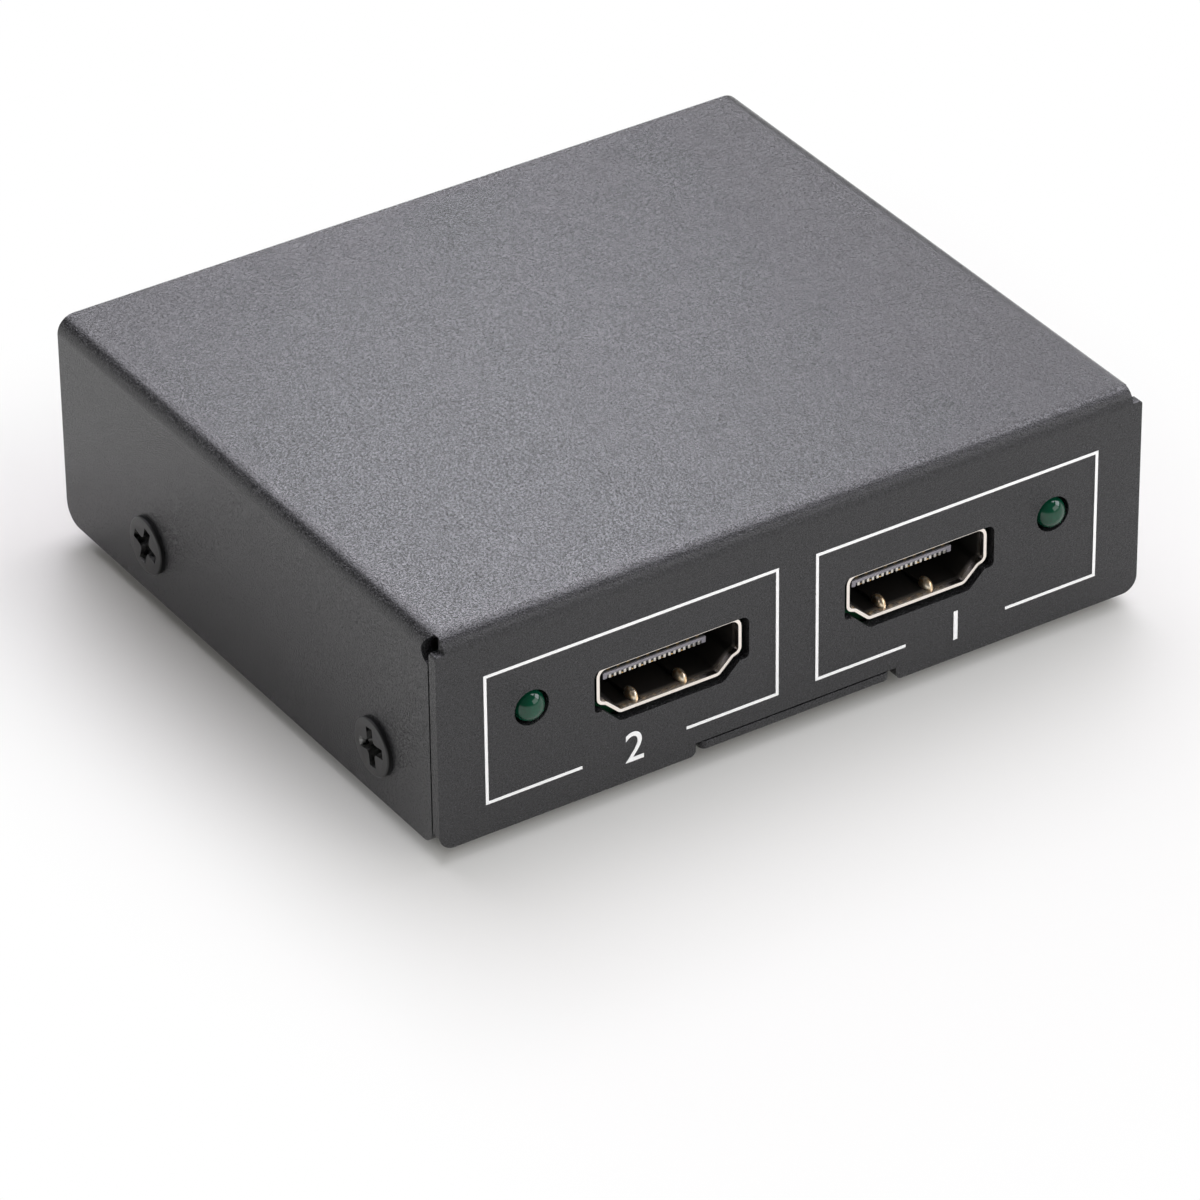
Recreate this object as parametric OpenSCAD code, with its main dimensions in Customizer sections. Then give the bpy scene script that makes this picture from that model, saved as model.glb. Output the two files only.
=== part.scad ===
// Two-way video splitter in a folded steel case.
// Millimetres. X runs to the right seen from the front, the front faces -Y and +Z is up.
// The origin lies under the middle of the case, on the surface that the feet stand on.

/* [Case] */
// Width of the case across its side faces
case_w = 72; // [66:0.5:110]
// Depth of the case from the front face to the rear edge
case_d = 62.4; // [58:0.1:100]
// Height of the case without its feet
case_h = 20.8; // [20:0.1:35]
// Clear height between the case and the surface it stands on
floor_gap = 1.5; // [0.5:0.1:5]
// Thickness of the cover's sheet
cover_t = 1; // [0.6:0.1:1.5]
// Inside radius of the cover's folds
fold_in_r = 0.7; // [0.2:0.1:1]
// Radius of the lower corners of the front flange
front_corner_r = 1.5; // [0.5:0.1:2.5]
// Radius of the lower rear corners of the side flanges
rear_corner_r = 2; // [0.5:0.1:4]
// Upper edge of the front flange's ears below the top face
ear_drop = 1.4; // [0.8:0.05:1.5]
// Radius of the upper corner of an ear
ear_corner_r = 0.3; // [0.1:0.05:0.9]
// Radius of the bend reliefs at the front corners
relief_r = 1.2; // [0.9:0.05:1.3]
// Middle of the bend reliefs below the top face
relief_drop = 1.45; // [1.2:0.05:1.7]
// Length of a bend relief's cut in the top face, from the front face
relief_len = 1.6; // [1:0.1:1.8]
// End of the front fold before the side face
fold_end = 0.95; // [0.8:0.05:1.2]
// Width of the seam between a side flange and the front flange
seam_w = 0.2; // [0.05:0.01:0.3]

/* [Base tray] */
// Thickness of the tray's sheet
base_t = 0.8; // [0.5:0.1:1.2]
// Underside of the tray above the lower edge of the cover
base_lift = 0.3; // [0:0.1:1]
// Inside radius of the tray's folds
base_in_r = 0.4; // [0.1:0.1:1]
// Gap between the tray and the inside of the cover
base_gap = 0.15; // [0.05:0.05:0.5]
// Height of the tray's side flanges
flange_h = 9; // [8:0.1:12]
// Distance of the side flanges from the front edge of the tray
flange_set = 3; // [1:0.1:6]
// Rear panel set in from the rear edge of the cover
rear_inset = 0.3; // [0:0.1:1]
// Width of the relief slot beside each fold of the rear panel
tray_slot = 1; // [0.5:0.1:2]
// Width of the front tab
tab_w = 19.5; // [10:0.5:24]
// Radius of the front tab's corners
tab_corner_r = 0.6; // [0.2:0.1:1]
// Gap on each side of the front tab
tab_side_gap = 0.6; // [0.1:0.05:1]
// Gap above the front tab
tab_top_gap = 0.16; // [0.02:0.02:0.3]
// Radius of the lower corners of the notch
notch_corner_r = 0.6; // [0.2:0.1:1]

/* [Feet] */
// Diameter of a foot
foot_d = 8; // [5:0.5:12]
// Narrowing of a foot towards the floor
foot_taper = 0.5; // [0.1:0.1:1]
// Feet in from the side faces
foot_side = 9; // [7:0.5:16]
// Feet in from the front face and the rear edge
foot_end = 8.5; // [7:0.5:14]

/* [Cover screws] */
// Outer diameter of the thread
screw_d = 3; // [2:0.1:4]
// Length under the head
screw_len = 4; // [3:0.1:5]
// Diameter of the head
screw_head_d = 5.4; // [4.5:0.1:7]
// Height of the head over the side face
screw_head_h = 0.45; // [0.3:0.05:1.5]
// Length of the cross recess
recess_len = 3.7; // [2:0.1:4]
// Width of the arms of the cross recess
recess_w = 0.85; // [0.3:0.05:0.9]
// Depth of the cross recess
recess_d = 1.2; // [0.6:0.1:1.8]
// Turn of the rear screws' recess
recess_turn = 17; // [0:1:44]
// Screw axis above the lower edge of the cover
screw_rise = 5.1; // [4:0.1:6]
// Front screw from the front face
screw_front = 10; // [8:0.1:14]
// Rear screw from the rear edge
screw_rear = 14.8; // [9:0.1:18]
// Gap round the thread in the cover
screw_hole_gap = 0.25; // [0.1:0.05:0.5]
// Gap round the thread in the tray
thread_gap = 0.03; // [0.01:0.01:0.1]

/* [Circuit board] */
// Thickness of the board
board_t = 1.6; // [1:0.1:2]
// Gap between the board and the tips of the cover screws
board_side_gap = 0.7; // [0.3:0.1:3]
// Gap between the board and the front flange
board_front_gap = 1.8; // [0.5:0.1:2]
// Gap between the board and the rear panel
board_rear_gap = 1.2; // [0.5:0.1:2]
// Height of a standoff
standoff_h = 4.25; // [3:0.05:5.5]
// Diameter of a standoff
standoff_d = 5; // [4:0.1:5.5]
// Standoffs in from the sides of the board
standoff_side = 4; // [3:0.1:6]
// Front standoffs from the front edge of the board
standoff_front = 13.5; // [9:0.1:16]
// Rear standoffs from the rear edge of the board
standoff_rear = 3.8; // [3:0.1:6]
// Diameter of a board screw's thread
board_screw_d = 2.5; // [2:0.1:3]
// Diameter of a board screw's head
board_screw_head_d = 4.6; // [3.5:0.1:5]
// Height of a board screw's head
board_screw_head_h = 1.7; // [1:0.1:2.5]
// Depth of thread in a standoff
board_screw_grip = 3; // [2:0.1:3.4]
// Gap round leads and threads in the board
board_hole_gap = 0.25; // [0.1:0.05:0.4]
// Length of leads under the board
lead_under = 1; // [0.5:0.1:1.3]

/* [Video sockets] */
// Distance between the two output sockets
port_pitch = 25.4; // [20:0.1:28]
// Input socket to the left of the middle, seen from the front
input_set = 6; // [0:0.5:10]
// Width of a socket's opening
port_w = 14; // [12.5:0.1:15.5]
// Height of a socket's opening
port_h = 4.6; // [4:0.05:5.5]
// Width of the narrow lower side of the opening
port_floor_w = 9.8; // [8:0.1:11]
// Height of the straight sides of the opening
port_side_h = 3.05; // [2:0.05:3.3]
// Width of the shoulder below each straight side
port_shoulder_w = 0.7; // [0.5:0.05:0.9]
// Drop of the shoulder towards the middle
port_shoulder_drop = 0.25; // [0.1:0.05:0.4]
// Rounding of the upper corners of the opening
port_top_r = 0.7; // [0.3:0.05:1]
// Rounding of the lower corners of the opening
port_corner_r = 0.45; // [0.2:0.05:0.5]
// Thickness of the shell's sheet
shell_t = 0.3; // [0.2:0.05:0.6]
// Depth of the shell
shell_d = 11; // [9:0.1:12]
// Mouth of a socket behind the face of its panel
port_recess = 0.43; // [0.1:0.01:1]
// Gap between the shell and the sides and lower edge of its cut-out
cut_gap = 0.5; // [0.15:0.05:0.6]
// Gap between the shell and the upper edge of its cut-out
cut_top_gap = 0.08; // [0.05:0.01:0.5]
// Width of the cut-out's level shoulder
cut_shoulder = 0.95; // [0.6:0.05:1.1]
// Width of a shell's leg
leg_w = 1.2; // [0.8:0.1:2]
// Front legs behind the mouth
leg_front = 4; // [3.5:0.1:5]
// Rear legs behind the mouth
leg_rear = 9; // [7.5:0.1:9.2]

/* [Socket insides] */
// Width of the tongue
tongue_w = 10.2; // [9:0.1:11.5]
// Thickness of the tongue
tongue_t = 0.7; // [0.6:0.05:1.1]
// Tip of the tongue behind the mouth
tongue_set = 2.3; // [1.5:0.1:3]
// Underside of the tongue above the floor of the opening
tongue_rise = 1.75; // [1.4:0.05:2]
// Thickness of the insulator behind the tongue
insulator_d = 3.5; // [2.5:0.1:4]
// Gap between the insulator and the shell
insulator_gap = 0.03; // [0.01:0.01:0.1]
// Contacts on the upper side of the tongue, with one fewer on the lower side
contact_n = 10; // [6:1:12]
// Width of a contact
contact_w = 0.3; // [0.15:0.05:0.35]
// Thickness of a contact
contact_t = 0.15; // [0.1:0.01:0.2]
// Contacts behind the tip of the tongue
contact_set = 0.25; // [0.1:0.05:0.6]
// Margin of the tongue beside the outer contacts
contact_margin = 0.6; // [0.5:0.05:1.2]
// Length of a contact's foot on the board
contact_foot = 1.2; // [0.8:0.1:1.5]
// Width of a spring finger
finger_w = 0.75; // [0.6:0.05:1.3]
// Thickness of a spring finger
finger_t = 0.2; // [0.15:0.05:0.3]
// Height of a spring finger's crest over the floor of the opening
finger_crest = 0.35; // [0.2:0.05:0.5]
// Radius of a spring finger's round nose
finger_nose_r = 3.6; // [2:0.05:4]
// Distance between the two spring fingers
finger_pitch = 4.92; // [4:0.02:6]
// Fingers to the left of the middle of the opening
finger_set = 0.59; // [0:0.01:1]
// Width of the slits round a spring finger
slit_w = 0.12; // [0.1:0.01:0.4]

/* [Power jack] */
// Jack to the right of the middle, seen from the front
jack_x = 17; // [13:0.5:19]
// Diameter of the jack's bore
jack_bore_d = 6.3; // [5:0.1:7]
// Diameter of the jack's pin
jack_pin_d = 2; // [1.3:0.1:2.5]
// Diameter of the pin's shank in the housing
jack_shank_d = 2.8; // [2.6:0.1:4]
// Wall round the bore
jack_wall = 1.35; // [0.8:0.05:1.8]
// Bore axis above the board
jack_rise = 6.5; // [5:0.1:7.5]
// Depth of the jack
jack_d = 14; // [11:0.1:15]
// Depth of the bore
jack_bore_depth = 9.5; // [8:0.1:10]
// Tip of the pin behind the mouth of the bore
jack_pin_set = 0.8; // [0.4:0.1:2]
// Gap between the jack and the rear panel
jack_gap = 0.15; // [0.05:0.05:0.5]
// Diameter of the hole in the rear panel
jack_hole_d = 8; // [6.8:0.1:9]
// Width of the jack's terminals
terminal_w = 2.4; // [1.5:0.1:3]
// Thickness of the jack's terminals
terminal_t = 0.4; // [0.2:0.05:0.6]

/* [Indicator lamps] */
// Diameter of a lamp
lamp_d = 3; // [2:0.1:4]
// Length of a lamp from its tip to its rim
lamp_len = 5.3; // [4:0.1:7]
// Tip of a lamp in front of the front face
lamp_proud = 0.75; // [0.3:0.05:1]
// Diameter of the rim at the back of a lamp
lamp_rim_d = 3.8; // [3.3:0.1:4.8]
// Thickness of the rim
lamp_rim_t = 1; // [0.5:0.1:1.5]
// Lamp axis in from the side face
lamp_side = 9.3; // [8:0.1:11]
// Lamp axis above the board
lamp_rise = 4.15; // [3.5:0.05:6]
// Gap round a lamp in the cover
lamp_gap = 0.2; // [0.05:0.01:0.4]
// Thickness of a lead
lead_t = 0.5; // [0.3:0.05:0.6]
// Distance between the two leads
lead_pitch = 2.54; // [1.5:0.01:2.6]
// Straight lead behind a lamp, before it turns down
lead_back = 1.8; // [1:0.1:3]

/* [Board parts] */
// Side of the splitter chip's body
chip_w = 10; // [7:0.1:12]
// Thickness of the splitter chip's body
chip_t = 1.4; // [0.8:0.1:2]
// Pins on each side of the splitter chip
chip_n = 16; // [8:1:20]
// Reach of a chip's pins beyond the body
pin_reach = 1; // [0.6:0.1:1.4]
// Thickness of a chip's pins
pin_t = 0.15; // [0.1:0.01:0.25]
// Gap between a chip's body and the board
chip_lift = 0.1; // [0.02:0.01:0.3]
// Length of the control chip's body
control_l = 4.9; // [4:0.1:6]
// Width of the control chip's body
control_w = 3.9; // [3:0.1:5]
// Thickness of the control chip's body
control_t = 1.45; // [1:0.05:2]
// Length of the crystal's can
crystal_l = 11.4; // [8:0.1:12]
// Width of the crystal's can
crystal_w = 4.7; // [3:0.1:5.5]
// Height of the crystal's can
crystal_h = 3.6; // [2:0.1:6]
// Width of the regulator's body
regulator_w = 6.5; // [5:0.1:7]
// Depth of the regulator's body
regulator_d = 3.5; // [3:0.1:4]
// Thickness of the regulator's body
regulator_t = 1.6; // [1:0.1:2.2]
// Side of the inductor's body
inductor_w = 6; // [4:0.1:7]
// Height of the inductor's body
inductor_h = 4; // [2:0.1:6]
// Diameter of a capacitor can
can_d = 6.3; // [4:0.1:7]
// Height of a capacitor can
can_h = 6; // [4:0.1:9]
// Thickness of the base under a can
can_base_t = 0.8; // [0.4:0.1:1.2]
// Length of a chip capacitor
cap_l = 2; // [1.2:0.1:2.4]
// Width of a chip capacitor
cap_w = 1.25; // [0.8:0.05:1.5]
// Length of a chip resistor
res_l = 1.6; // [1:0.1:1.8]
// Width of a chip resistor
res_w = 0.8; // [0.5:0.05:1]
// Length of a surge array
surge_l = 2.5; // [1.6:0.1:3]

/* [Hidden] */
$fn = 48;
// Overshoot of cutting bodies past the faces that they cut
over = 1;
// Steps in a rounded corner of an outline
arc_steps = 5;

// Case
front_y = -case_d / 2;
rear_y = case_d / 2;
side_x = case_w / 2;
low_z = floor_gap;
top_z = floor_gap + case_h;
fold_r = fold_in_r + cover_t;
fold_z = top_z - fold_r;
front_in_y = front_y + cover_t;

// Base tray
tray_z = low_z + base_lift;
tray_top_z = tray_z + base_t;
tray_x = side_x - cover_t - base_gap;
tray_front_y = front_in_y + base_gap;
panel_y = rear_y - rear_inset;
panel_in_y = panel_y - base_t;
panel_top_z = top_z - cover_t - base_gap;
tray_fold_r = base_in_r + base_t;
screw_z = low_z + screw_rise;
screw_ys = [front_y + screw_front, rear_y - screw_rear];

// Board
board_x = side_x - screw_len - board_side_gap;
board_z = tray_top_z + standoff_h;
board_top_z = board_z + board_t;
board_front_y = front_in_y + board_front_gap;
board_rear_y = panel_in_y - board_rear_gap;
standoff_x = board_x - standoff_side;
standoff_ys = [board_front_y + standoff_front, board_rear_y - standoff_rear];

// Sockets, each in a frame of its own: the mouth at y = 0, +Y into the case, z = 0 on the board
port_floor_z = shell_t;
port_top_z = port_floor_z + port_h;
port_shoulder_z = port_top_z - port_side_h;
port_step_z = port_shoulder_z - port_shoulder_drop;
port_points = both_sides([
  [port_w / 2, port_top_z],
  [port_w / 2, port_shoulder_z],
  [port_w / 2 - port_shoulder_w, port_step_z],
  [port_floor_w / 2, port_floor_z]
]);
contact_pitch = (tongue_w - 2 * contact_margin) / (contact_n - 1);
tongue_z = port_floor_z + tongue_rise;
block_y = shell_d - insulator_d;
finger_crest_y = 2.2;
finger_nose_turn = acos(1 - finger_crest / finger_nose_r);
finger_tip_y = finger_crest_y - finger_nose_r * sin(finger_nose_turn);
finger_root_y = 6.5;
outputs_back_y = front_y + port_recess + shell_d + contact_foot;
inputs_back_y = panel_y - port_recess - shell_d - contact_foot;

// Jack
jack_face_y = panel_in_y - jack_gap;
jack_z = board_top_z + jack_rise;
jack_half_w = jack_bore_d / 2 + jack_wall;
jack_back_y = jack_face_y - jack_d;
jack_bore_end_y = jack_face_y - jack_bore_depth;
jack_spring_y = jack_bore_end_y + terminal_t;
jack_tail_y = jack_back_y - terminal_t / 2;
jack_spring_z = jack_z - jack_bore_d / 2;

// Lamps
lamp_x = side_x - lamp_side;
lamp_z = board_top_z + lamp_rise;
lamp_tip_y = front_y - lamp_proud;
lamp_back_y = lamp_tip_y + lamp_len;
lead_turn_y = lamp_back_y + lead_back;

// Places of the board parts, from the middle of the board
chip_at = [0, -2];
control_at = [-13.5, 6.5];
crystal_at = [-14.5, -5];
regulator_at = [12.5, 5.5];
inductor_at = [board_x - 10.3, 4.5];
can_places = [[14.5, -6.5], [board_x - 7.8, -5.5], [8.3 - board_x, 3]];
fuse_at = [board_x - 10.3, 10.5];

// Outlines

// Points of the arc that rounds corner b between a and c
function corner_arc(a, b, c, r) =
  let (
    u = (a - b) / norm(a - b),
    v = (c - b) / norm(c - b),
    half = acos(u * v) / 2,
    middle = b + (u + v) / norm(u + v) * r / sin(half),
    start = b + u * r / tan(half) - middle,
    stop = b + v * r / tan(half) - middle,
    from = atan2(start.y, start.x),
    turn = (atan2(stop.y, stop.x) - from + 540) % 360 - 180
  )
  [for (i = [0:arc_steps]) middle + r * [cos(from + turn * i / arc_steps), sin(from + turn * i / arc_steps)]];

// An outline with each corner rounded to its own radius
function rounded(points, radii) =
  let (n = len(points))
  [for (i = [0:n - 1]) each corner_arc(points[(i + n - 1) % n], points[i], points[(i + 1) % n], radii[i])];

// A half outline on the right, given from top to bottom, with its mirror image on the left
function both_sides(half) =
  concat(half, [for (i = [len(half) - 1:-1:0]) [-half[i].x, half[i].y]]);

// The radii that go with such an outline
function both_radii(half) =
  concat(half, [for (i = [len(half) - 1:-1:0]) half[i]]);

// Direction out of an outline that runs clockwise, across its edge from a to b
function outward(a, b) = [a.y - b.y, b.x - a.x] / norm(b - a);

// An outline with all its edges moved out by g
function grown(points, g) =
  let (n = len(points))
  [for (i = [0:n - 1])
    let (
      before = outward(points[(i + n - 1) % n], points[i]),
      after = outward(points[i], points[(i + 1) % n])
    )
    points[i] + g * (before + after) / (1 + before * after)
  ];

// Outline of a socket's opening, grown outwards by g
function port_outline(g) =
  rounded(
    grown(port_points, g),
    both_radii([port_top_r + g, port_corner_r + g, max(0.1, port_corner_r - g), port_corner_r + g])
  );

// Outline of the cut-out in a panel round a socket, with a level shoulder on each side
function cut_outline() =
  let (
    hull = grown(port_points, shell_t + cut_gap),
    shoulder = port_step_z - cut_gap
  )
  rounded(
    both_sides([
      [hull[0].x, port_top_z + shell_t + cut_top_gap],
      [hull[0].x, shoulder],
      [hull[0].x - cut_shoulder, shoulder],
      hull[3]
    ]),
    both_radii([port_top_r, port_corner_r, port_corner_r, port_top_r])
  );

// What a rounding of radius r takes off a corner at the origin, with the material towards +X and +Y
module corner_waste(r) {
  difference() {
    translate([-over, -over]) square(r + over);
    translate([r, r]) circle(r);
  }
}

// A profile in X and Z, drawn out from y0 to y1
module along_y(y0, y1) {
  translate([0, y1, 0]) rotate([90, 0, 0]) linear_extrude(y1 - y0) children();
}

// A profile in Y and Z, drawn out from x0 to x1
module along_x(x0, x1) {
  translate([x0, 0, 0]) rotate([90, 0, 90]) linear_extrude(x1 - x0) children();
}

// The children, and their mirror image on the other side of the middle
module both_flanks() {
  children();
  mirror([1, 0, 0]) children();
}

// The children at each of the two output sockets
module at_outputs(z = board_top_z) {
  for (side = [-1, 1]) translate([side * port_pitch / 2, front_y + port_recess, z]) children();
}

// The children at the input socket, which faces the rear
module at_input() {
  translate([-input_set, panel_y - port_recess, board_top_z]) rotate([0, 0, 180]) children();
}

// The children at each cover screw, with +Z out of the side face
module at_cover_screws() {
  both_flanks() for (i = [0, 1])
    translate([side_x, screw_ys[i], screw_z]) rotate([0, 90, 0]) rotate(i * recess_turn) children();
}

// The children at each standoff
module at_standoffs() {
  both_flanks() for (y = standoff_ys) translate([standoff_x, y, 0]) children();
}

// Case

// The folded form of the cover, with its faces moved in by inset
module cover_form(inset, r, end_y, low) {
  x = side_x - inset;
  top = top_z - inset;
  difference() {
    along_y(front_y + inset, end_y) difference() {
      translate([-x, low]) square([2 * x, top - low]);
      for (side = [0, 1]) mirror([side, 0]) translate([x, top]) rotate(180) corner_waste(r);
    }
    along_x(-side_x - over, side_x + over) translate([front_y + inset, top]) mirror([0, 1]) corner_waste(r);
  }
}

// Bend relief, seam and rounded corners on the right-hand side of the cover
module cover_corner_cuts() {
  relief_z = top_z - relief_drop;
  // The fold of the front flange ends before the side face
  translate([side_x - fold_end, front_y - over, fold_z]) cube([fold_end + over, over + relief_len, fold_r + over]);
  along_y(front_y - over, front_in_y) translate([side_x, low_z]) mirror([1, 0]) corner_waste(front_corner_r);
  // The side flange has a round bite there, and a seam below it
  along_x(side_x - fold_r, side_x + over) {
    intersection() {
      translate([front_in_y, relief_z]) circle(relief_r);
      translate([front_in_y, relief_z - relief_r]) square(2 * relief_r);
    }
    translate([front_in_y, low_z - over]) square([seam_w, relief_z - low_z + over]);
    translate([rear_y, low_z]) mirror([1, 0]) corner_waste(rear_corner_r);
    translate([front_in_y + seam_w, low_z]) corner_waste(front_corner_r - seam_w);
  }
}

// Flat ear of the front flange on the right-hand side, beside the end of its fold
module cover_ear() {
  along_y(front_y, front_in_y) difference() {
    translate([side_x - fold_end, fold_z - over]) square([fold_end, fold_r - ear_drop + over]);
    translate([side_x, top_z - ear_drop]) rotate(180) corner_waste(min(ear_corner_r, fold_r - ear_drop));
  }
}

// Notch in the lower edge of the front flange, for the tab of the tray
module cover_notch() {
  x = tab_w / 2 + tab_side_gap;
  along_y(front_y - over, front_in_y + over) {
    translate([-x, low_z - over]) square([2 * x, over + tray_top_z - low_z + tab_top_gap]);
    for (side = [0, 1]) mirror([side, 0]) translate([x, low_z]) corner_waste(notch_corner_r);
  }
}

module top_cover() {
  color("#3a3a3c") difference() {
    union() {
      difference() {
        cover_form(0, fold_r, rear_y, low_z);
        cover_form(cover_t, fold_in_r, rear_y + over, low_z - over);
        both_flanks() cover_corner_cuts();
      }
      both_flanks() cover_ear();
    }
    cover_notch();
    at_outputs() along_y(-port_recess - over, cover_t + over) polygon(cut_outline());
    for (side = [-1, 1])
      translate([side * lamp_x, front_y - over, lamp_z]) rotate([-90, 0, 0])
        cylinder(d = lamp_d + 2 * lamp_gap, h = cover_t + 2 * over);
    at_cover_screws() translate([0, 0, -cover_t - base_gap / 2])
      cylinder(d = screw_d + 2 * screw_hole_gap, h = cover_t + base_gap / 2 + over);
  }
}

// The folded form of the tray, with its faces moved in by inset
module tray_form(inset, r, start_y, high) {
  x = tray_x - inset;
  low = tray_z + inset;
  difference() {
    along_y(start_y, panel_y - inset) difference() {
      translate([-x, low]) square([2 * x, high - low]);
      for (side = [0, 1]) mirror([side, 0]) translate([x, low]) mirror([1, 0]) corner_waste(r);
    }
    along_x(-tray_x - over, tray_x + over) translate([panel_y - inset, low]) mirror([1, 0]) corner_waste(r);
  }
}

// What is cut away on the right-hand side of the tray
module tray_side_cuts() {
  flange_front_y = tray_front_y + flange_set;
  slot_y = panel_in_y - tray_slot;
  flange_z = tray_z + flange_h;
  x = tray_x - tray_fold_r;
  along_x(x, tray_x + over) {
    translate([tray_front_y - over, tray_z - over]) square([flange_set + over, case_h + over]);
    translate([flange_front_y - over, flange_z]) square([panel_in_y - flange_front_y + over, case_h]);
    translate([slot_y, tray_z - over]) square([tray_slot, case_h]);
    translate([flange_front_y, flange_z]) mirror([0, 1]) corner_waste(rear_corner_r);
    translate([slot_y, flange_z]) rotate(180) corner_waste(rear_corner_r);
  }
  translate([x, panel_y - tray_fold_r, tray_z - over]) cube([tray_x, tray_fold_r + over, tray_fold_r + over]);
  // The upper corners of the rear panel follow the cover's folds
  along_y(panel_in_y - over, panel_y + over)
    translate([tray_x, panel_top_z]) rotate(180) corner_waste(max(fold_in_r - base_gap, 0.1));
}

module base_tray() {
  color("#353537") difference() {
    union() {
      difference() {
        tray_form(0, tray_fold_r, tray_front_y, panel_top_z);
        tray_form(base_t, base_in_r, tray_front_y - over, panel_top_z + over);
        both_flanks() tray_side_cuts();
      }
      translate([0, 0, tray_z]) linear_extrude(base_t) difference() {
        translate([-tab_w / 2, front_y]) square([tab_w, tray_front_y - front_y + over]);
        for (side = [0, 1]) mirror([side, 0]) translate([-tab_w / 2, front_y]) corner_waste(tab_corner_r);
      }
    }
    at_input() along_y(-port_recess - over, base_t + over) polygon(cut_outline());
    translate([jack_x, panel_in_y - over, jack_z]) rotate([-90, 0, 0]) cylinder(d = jack_hole_d, h = base_t + 2 * over);
    at_cover_screws() translate([0, 0, -screw_len - over]) cylinder(d = screw_d + 2 * thread_gap, h = screw_len);
  }
}

module cover_screws() {
  color("#1c1c1d") at_cover_screws() difference() {
    union() {
      rotate_extrude() polygon([
        [0, 0],
        [screw_head_d / 2, 0],
        [screw_head_d / 2, screw_head_h / 2],
        [screw_head_d / 2 - screw_head_h / 2, screw_head_h],
        [0, screw_head_h]
      ]);
      translate([0, 0, -screw_len]) cylinder(d = screw_d, h = screw_len);
    }
    for (turn = [0, 90]) rotate(turn)
      translate([-recess_len / 2, -recess_w / 2, screw_head_h - recess_d]) cube([recess_len, recess_w, recess_d + over]);
  }
}

module rubber_feet() {
  foot_r = foot_d / 2;
  color("#161616") both_flanks() for (y = [front_y + foot_end, rear_y - foot_end])
    translate([side_x - foot_side, y, 0]) rotate_extrude() polygon([
      [0, 0],
      [foot_r - foot_taper, 0],
      [foot_r, foot_taper],
      [foot_r, tray_z],
      [0, tray_z]
    ]);
}

// Board

module circuit_board() {
  hole_h = board_t + 2 * over;
  color("#1f5c34") difference() {
    translate([-board_x, board_front_y, board_z]) cube([2 * board_x, board_rear_y - board_front_y, board_t]);
    translate([0, 0, board_z - over]) {
      at_standoffs() cylinder(d = board_screw_d + 2 * board_hole_gap, h = hole_h);
      both_flanks() for (x = lead_pitch / 2 * [-1, 1])
        translate([lamp_x + x, lead_turn_y, 0]) cylinder(d = sqrt(2) * lead_t + 2 * board_hole_gap, h = hole_h);
    }
    at_outputs() leg_slots();
    at_input() leg_slots();
    for (y = [jack_spring_y, jack_tail_y])
      translate([jack_x, y, board_z + board_t / 2])
        cube([terminal_w + 2 * board_hole_gap, terminal_t + 2 * board_hole_gap, hole_h], center = true);
  }
}

module board_standoffs() {
  color("#b9bbbe") at_standoffs() translate([0, 0, tray_top_z]) difference() {
    cylinder(d = standoff_d, h = standoff_h);
    translate([0, 0, standoff_h - board_screw_grip - thread_gap])
      cylinder(d = board_screw_d + 2 * thread_gap, h = board_screw_grip + thread_gap + over);
  }
}

module board_screws() {
  head_r = board_screw_head_d / 2;
  color("#c8c9cc") at_standoffs() translate([0, 0, board_top_z]) {
    rotate_extrude() polygon([
      [0, 0],
      [head_r, 0],
      [head_r, board_screw_head_h / 2],
      [head_r - board_screw_head_h / 2, board_screw_head_h],
      [0, board_screw_head_h]
    ]);
    translate([0, 0, -board_t - board_screw_grip]) cylinder(d = board_screw_d, h = board_t + board_screw_grip);
  }
}

// Video sockets, in a socket's own frame

// Holes in the board for the legs of a shell
module leg_slots() {
  both_flanks() for (y = [leg_front, leg_rear])
    translate([port_w / 2 + shell_t / 2, y, -board_t / 2])
      cube([shell_t + 2 * board_hole_gap, leg_w + 2 * board_hole_gap, board_t + 2 * over], center = true);
}

// The children at each spring finger
module at_fingers() {
  for (side = [-1, 1]) translate([side * finger_pitch / 2 - finger_set, 0, 0]) children();
}

// Spring finger cut out of the floor of the shell, with its round nose towards the mouth
module spring_finger() {
  middle = [finger_crest_y, finger_crest - finger_nose_r];
  nose = [for (i = [0:2 * arc_steps])
    let (turn = finger_nose_turn * (1 - i / (2 * arc_steps))) middle + finger_nose_r * [-sin(turn), cos(turn)]];
  translate([0, 0, port_floor_z]) along_x(-finger_w / 2, finger_w / 2)
    polygon(concat(nose, [[finger_root_y, 0], [finger_root_y, -finger_t], [finger_tip_y, -finger_t]]));
}

module shell() {
  color("#c9c6c0") union() {
    difference() {
      along_y(0, shell_d) difference() {
        polygon(port_outline(shell_t));
        polygon(port_outline(0));
      }
      at_fingers() translate([-finger_w / 2 - slit_w, finger_tip_y - slit_w, -over])
        cube([finger_w + 2 * slit_w, finger_root_y - finger_tip_y, port_floor_z + 2 * over]);
    }
    at_fingers() spring_finger();
    both_flanks() for (y = [leg_front, leg_rear])
      translate([port_w / 2, y - leg_w / 2, -board_t - lead_under])
        cube([shell_t, leg_w, board_t + lead_under + port_shoulder_z + shell_t]);
  }
}

// One contact: along the tongue, through the insulator and down to its foot on the board
module contact(z) {
  tail_y = shell_d + contact_t;
  along_x(-contact_w / 2, contact_w / 2) {
    translate([tongue_set + contact_set, z]) square([tail_y - tongue_set - contact_set, contact_t]);
    translate([shell_d, 0]) square([contact_t, z + contact_t]);
    translate([shell_d, 0]) square([contact_foot, contact_t]);
  }
}

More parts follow.
